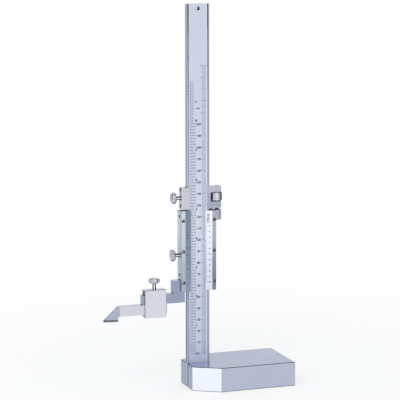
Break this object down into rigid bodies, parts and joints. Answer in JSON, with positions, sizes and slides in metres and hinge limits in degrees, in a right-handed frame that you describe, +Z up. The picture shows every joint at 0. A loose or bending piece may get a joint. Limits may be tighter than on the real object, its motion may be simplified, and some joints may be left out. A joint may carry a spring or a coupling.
{
  "type": "vernier height gauge",
  "caption": "Vernier height gauge with a heavy base, a flat mast with two scales, a slider with fine adjustment, lock screws and a clamped carbide scriber.",
  "frame": {"origin": "centre of the base's underside", "axes": "+Z up along the mast; the scriber reaches along -X and the scales face -Y"},
  "size_m": [0.1644, 0.0564, 0.3318],
  "materials": {
    "ground_steel": "fine ground",
    "satin_steel": "satin chromed",
    "plate_steel": "satin chromed, polished edges",
    "polished_steel": "polished",
    "nut_steel": "turned, ridged",
    "screw_steel": "browned",
    "black_steel": "black oxide",
    "bronze": "bright rolled",
    "carbide": "ground carbide"
  },
  "bodies": {
    "stand": {"base": "ground_steel", "mast": "satin_steel", "mast_screws": "black_steel"},
    "slider": {"slider_frame": "ground_steel", "metric_plate": "plate_steel", "inch_plate": "plate_steel", "metric_plate_screws": "screw_steel", "inch_plate_screws": "screw_steel", "slider_gib": "bronze", "slider_gib_screws": "screw_steel", "fine_screw": "ground_steel", "fine_screw_pin": "screw_steel"},
    "slider_pad": {"slider_lock_pad": "bronze"},
    "slider_lock": {"slider_lock_screw": "polished_steel"},
    "clamp": {"clamp_block": "ground_steel", "clamp_gib": "bronze", "clamp_gib_screws": "screw_steel"},
    "clamp_pad": {"clamp_lock_pad": "bronze"},
    "clamp_lock": {"clamp_lock_screw": "polished_steel"},
    "nut": {"adjusting_nut": "nut_steel"},
    "scriber_clamp": {"scriber_box": "satin_steel"},
    "shoe": {"pressure_shoe": "bronze"},
    "scriber_lock": {"scriber_lock_screw": "polished_steel"},
    "scriber": {"scriber_bar": "satin_steel", "carbide_tip": "carbide"}
  },
  "joints": [
    {"name": "slider_slide", "type": "slide", "parent": "stand", "child": "slider", "axis": [0, 0, 1], "range_m": [-0.063, 0.137]},
    {"name": "slider_pad_slide", "type": "slide", "parent": "slider", "child": "slider_pad", "axis": [1, 0, 0], "range_m": [-0.001, 0]},
    {"name": "slider_lock_turn", "type": "hinge", "parent": "slider_pad", "child": "slider_lock", "pos_m": [-0.04585, 0, 0.1168], "axis": [1, 0, 0], "range_deg": [-720.5, 0.5]},
    {"name": "clamp_slide", "type": "slide", "parent": "slider", "child": "clamp", "axis": [0, 0, 1], "range_m": [-0.0005, 0.0045]},
    {"name": "nut_turn", "type": "hinge", "parent": "clamp", "child": "nut", "pos_m": [-0.0172, -0.0002, 0.1664], "axis": [0, 0, 1], "range_deg": [-360.5, 3240.5]},
    {"name": "clamp_pad_slide", "type": "slide", "parent": "clamp", "child": "clamp_pad", "axis": [1, 0, 0], "range_m": [-0.001, 0]},
    {"name": "clamp_lock_turn", "type": "hinge", "parent": "clamp_pad", "child": "clamp_lock", "pos_m": [-0.04585, 0, 0.1664], "axis": [1, 0, 0], "range_deg": [-720.5, 0.5]},
    {"name": "scriber_clamp_slide", "type": "slide", "parent": "slider", "child": "scriber_clamp", "axis": [1, 0, 0], "range_m": [-0.01, 0.006]},
    {"name": "shoe_slide", "type": "slide", "parent": "scriber_clamp", "child": "shoe", "axis": [0, 0, -1], "range_m": [-0.001, 0]},
    {"name": "scriber_lock_turn", "type": "hinge", "parent": "shoe", "child": "scriber_lock", "pos_m": [-0.0741, 0.0005, 0.08405], "axis": [0, 0, -1], "range_deg": [-720.5, 0.5]},
    {"name": "scriber_slide", "type": "slide", "parent": "scriber_clamp", "child": "scriber", "axis": [1, 0, 0], "range_m": [-0.008, 0.01]}
  ],
  "couplings": [
    {"joint": "slider_lock_turn", "follows": "slider_pad_slide", "rad_per_m": 12566},
    {"joint": "clamp_lock_turn", "follows": "clamp_pad_slide", "rad_per_m": 12566},
    {"joint": "nut_turn", "follows": "clamp_slide", "rad_per_m": 12566},
    {"joint": "scriber_lock_turn", "follows": "shoe_slide", "rad_per_m": 12566}
  ]
}
